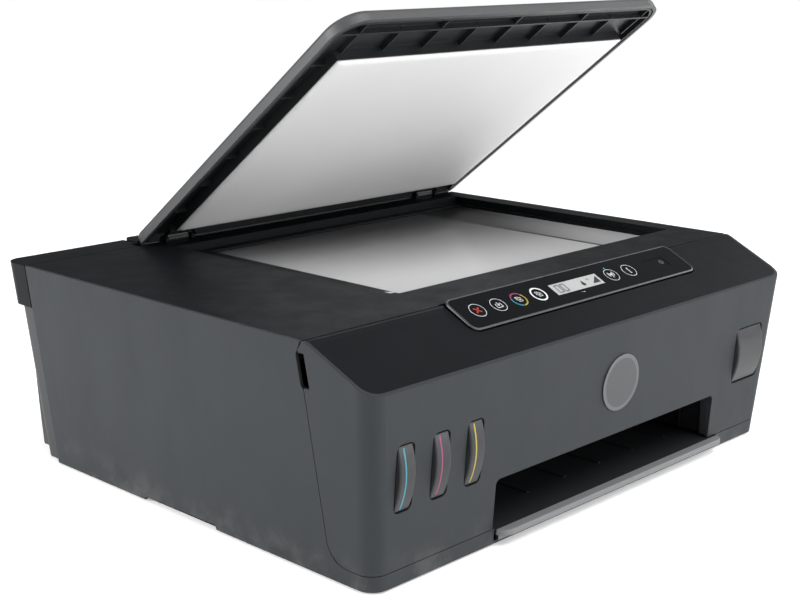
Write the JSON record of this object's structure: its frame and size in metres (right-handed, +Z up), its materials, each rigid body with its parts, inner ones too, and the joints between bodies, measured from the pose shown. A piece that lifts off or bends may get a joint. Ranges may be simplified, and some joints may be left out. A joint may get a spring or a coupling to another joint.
{
  "type": "inkjet printer",
  "caption": "Desktop inkjet printer with refillable ink tanks, a flatbed scanner lid standing open, a lifting front door and a slide-out paper tray.",
  "frame": {"origin": "on the table plane, under the middle of the body", "axes": "+X to the right across the front, +Y from the front towards the back, +Z up"},
  "size_m": [0.447, 0.3711, 0.328],
  "materials": {
    "case_grey": "fine textured plastic",
    "rear_black": "fine textured plastic",
    "top_black": "fine textured plastic",
    "chassis_black": "moulded plastic",
    "scanner_glass": "clear flat glass",
    "steel": "ground steel",
    "sensor_black": "moulded plastic",
    "lid_grey": "fine textured plastic",
    "liner_black": "moulded plastic",
    "pad_white": "white film on foam",
    "panel_gloss": "gloss film",
    "display_grey": "passive display",
    "board_green": "printed circuit board",
    "badge_silver": "satin metal",
    "tray_black": "moulded plastic",
    "guide_grey": "moulded plastic",
    "tube_clear": "soft tube",
    "beam_steel": "zinc plated sheet",
    "belt_rubber": "toothed belt",
    "motor_steel": "plated can",
    "gear_white": "acetal",
    "roller_rubber": "ground rubber",
    "foot_rubber": "soft rubber",
    "carriage_black": "moulded plastic",
    "head_grey": "moulded plastic",
    "latch_blue": "moulded plastic",
    "button_gloss": "gloss key cap",
    "tank_cyan": "smoked translucent plastic",
    "cap_cyan": "soft stopper",
    "tank_magenta": "smoked translucent plastic",
    "cap_magenta": "soft stopper",
    "tank_yellow": "smoked translucent plastic",
    "cap_yellow": "soft stopper",
    "tank_black": "smoked translucent plastic",
    "cap_black": "soft stopper"
  },
  "bodies": {
    "root": {"outer_casing": "case_grey", "base_chassis": "chassis_black", "rear_cover": "rear_black", "rear_top_cover": "top_black", "scanner_top_frame": "top_black", "scanner_glass": "scanner_glass", "scanner_tray": "chassis_black", "hinge_pins": "steel", "ink_tank_cyan": "tank_cyan", "ink_tank_magenta": "tank_magenta", "ink_tank_yellow": "tank_yellow", "ink_tank_black": "tank_black", "ink_tubes": "tube_clear", "guide_rods": "steel", "rail_frame": "beam_steel", "carriage_belt": "belt_rubber", "carriage_motor": "motor_steel", "feed_motor": "motor_steel", "platen": "chassis_black", "service_station": "chassis_black", "main_board": "board_green", "power_module": "chassis_black", "power_inlet": "chassis_black", "feet": "foot_rubber", "screws": "steel"},
    "door": {"front_door": "case_grey", "fascia": "top_black", "control_panel": "panel_gloss", "display_window": "display_grey", "control_board": "board_green", "front_badge": "badge_silver"},
    "lid": {"lid_shell": "lid_grey", "lid_inner_frame": "liner_black", "lid_pad": "pad_white", "hinge_arms": "liner_black"},
    "scan_bar": {"scan_bar": "sensor_black"},
    "output_tray": {"output_tray": "tray_black"},
    "tray_extender": {"tray_extender": "tray_black"},
    "paper_support": {"paper_support": "top_black"},
    "paper_guide_left": {"paper_guide_left": "guide_grey"},
    "paper_guide_right": {"paper_guide_right": "guide_grey"},
    "carriage": {"print_carriage": "carriage_black", "print_heads": "head_grey"},
    "carriage_latch": {"carriage_latch": "latch_blue"},
    "motor_pulley": {"motor_pulley": "gear_white"},
    "idler_pulley": {"idler_pulley": "gear_white"},
    "feed_roller": {"feed_roller": "roller_rubber"},
    "feed_pinion": {"feed_pinion": "gear_white"},
    "output_roller": {"output_roller": "roller_rubber"},
    "cancel_button": {"cancel_button": "button_gloss"},
    "resume_button": {"resume_button": "button_gloss"},
    "colour_copy_button": {"colour_copy_button": "button_gloss"},
    "black_copy_button": {"black_copy_button": "button_gloss"},
    "wireless_button": {"wireless_button": "button_gloss"},
    "information_button": {"information_button": "button_gloss"},
    "power_button": {"power_button": "button_gloss"},
    "tank_cap_cyan": {"tank_cap_cyan": "cap_cyan"},
    "tank_cap_magenta": {"tank_cap_magenta": "cap_magenta"},
    "tank_cap_yellow": {"tank_cap_yellow": "cap_yellow"},
    "tank_cap_black": {"tank_cap_black": "cap_black"}
  },
  "joints": [
    {"name": "door_hinge", "type": "hinge", "parent": "root", "child": "door", "pos_m": [0, -0.1326, 0.1454], "axis": [-1, 0, 0], "range_deg": [0, 36]},
    {"name": "lid_hinge", "type": "hinge", "parent": "root", "child": "lid", "pos_m": [0, 0.1595, 0.1504], "axis": [-1, 0, 0], "range_deg": [-37.4, 37.6]},
    {"name": "cancel_button_press", "type": "slide", "parent": "door", "child": "cancel_button", "axis": [0, 0.454, -0.891], "range_m": [0, 0.0006], "stiffness_N_per_m": 500},
    {"name": "resume_button_press", "type": "slide", "parent": "door", "child": "resume_button", "axis": [0, 0.454, -0.891], "range_m": [0, 0.0006], "stiffness_N_per_m": 500},
    {"name": "colour_copy_button_press", "type": "slide", "parent": "door", "child": "colour_copy_button", "axis": [0, 0.454, -0.891], "range_m": [0, 0.0006], "stiffness_N_per_m": 500},
    {"name": "black_copy_button_press", "type": "slide", "parent": "door", "child": "black_copy_button", "axis": [0, 0.454, -0.891], "range_m": [0, 0.0006], "stiffness_N_per_m": 500},
    {"name": "wireless_button_press", "type": "slide", "parent": "door", "child": "wireless_button", "axis": [0, 0.454, -0.891], "range_m": [0, 0.0006], "stiffness_N_per_m": 500},
    {"name": "information_button_press", "type": "slide", "parent": "door", "child": "information_button", "axis": [0, 0.454, -0.891], "range_m": [0, 0.0006], "stiffness_N_per_m": 500},
    {"name": "power_button_press", "type": "slide", "parent": "door", "child": "power_button", "axis": [0, 0.454, -0.891], "range_m": [0, 0.0006], "stiffness_N_per_m": 500},
    {"name": "scan_bar_slide", "type": "slide", "parent": "root", "child": "scan_bar", "axis": [1, 0, 0], "range_m": [0, 0.3]},
    {"name": "output_tray_slide", "type": "slide", "parent": "root", "child": "output_tray", "axis": [0, -1, 0], "range_m": [0, 0.12]},
    {"name": "tray_extender_slide", "type": "slide", "parent": "output_tray", "child": "tray_extender", "axis": [0, -1, 0], "range_m": [0, 0.085]},
    {"name": "paper_support_slide", "type": "slide", "parent": "root", "child": "paper_support", "axis": [0, 0.0657, 0.9978], "range_m": [0, 0.095]},
    {"name": "paper_guide_left_slide", "type": "slide", "parent": "root", "child": "paper_guide_left", "axis": [1, 0, 0], "range_m": [0, 0.056]},
    {"name": "paper_guide_right_slide", "type": "slide", "parent": "root", "child": "paper_guide_right", "axis": [1, 0, 0], "range_m": [-0.056, 0]},
    {"name": "carriage_slide", "type": "slide", "parent": "root", "child": "carriage", "axis": [-1, 0, 0], "range_m": [0, 0.316]},
    {"name": "carriage_latch_hinge", "type": "hinge", "parent": "carriage", "child": "carriage_latch", "pos_m": [0.169, -0.0046, 0.0899], "axis": [-1, 0, 0], "range_deg": [0, 35]},
    {"name": "motor_pulley_spin", "type": "hinge", "parent": "root", "child": "motor_pulley", "pos_m": [-0.187, 0.0151, 0.09], "axis": [0, 1, 0], "range_deg": [0, 3200]},
    {"name": "idler_pulley_spin", "type": "hinge", "parent": "root", "child": "idler_pulley", "pos_m": [0.187, 0.0151, 0.09], "axis": [0, 1, 0], "range_deg": [0, 3200]},
    {"name": "feed_roller_spin", "type": "hinge", "parent": "root", "child": "feed_roller", "pos_m": [0, 0.046, 0.04], "axis": [1, 0, 0], "continuous": true},
    {"name": "feed_pinion_spin", "type": "hinge", "parent": "root", "child": "feed_pinion", "pos_m": [-0.198, 0.05958, 0.06351], "axis": [1, 0, 0], "continuous": true},
    {"name": "output_roller_spin", "type": "hinge", "parent": "root", "child": "output_roller", "pos_m": [0, -0.074, 0.04], "axis": [1, 0, 0], "continuous": true},
    {"name": "tank_cap_cyan_hinge", "type": "hinge", "parent": "root", "child": "tank_cap_cyan", "pos_m": [-0.1883, -0.136, 0.0995], "axis": [-1, 0, 0], "range_deg": [0, 85]},
    {"name": "tank_cap_magenta_hinge", "type": "hinge", "parent": "root", "child": "tank_cap_magenta", "pos_m": [-0.1595, -0.136, 0.0995], "axis": [-1, 0, 0], "range_deg": [0, 85]},
    {"name": "tank_cap_yellow_hinge", "type": "hinge", "parent": "root", "child": "tank_cap_yellow", "pos_m": [-0.1291, -0.136, 0.0995], "axis": [-1, 0, 0], "range_deg": [0, 85]},
    {"name": "tank_cap_black_hinge", "type": "hinge", "parent": "root", "child": "tank_cap_black", "pos_m": [0.1793, -0.136, 0.0995], "axis": [-1, 0, 0], "range_deg": [0, 85]}
  ],
  "couplings": [
    {"joint": "paper_guide_right_slide", "follows": "paper_guide_left_slide", "ratio": -1},
    {"joint": "motor_pulley_spin", "follows": "carriage_slide", "rad_per_m": 169.49},
    {"joint": "idler_pulley_spin", "follows": "carriage_slide", "rad_per_m": 169.49},
    {"joint": "feed_pinion_spin", "follows": "feed_roller_spin", "ratio": -2.8571},
    {"joint": "output_roller_spin", "follows": "feed_roller_spin", "ratio": 1.6667}
  ]
}
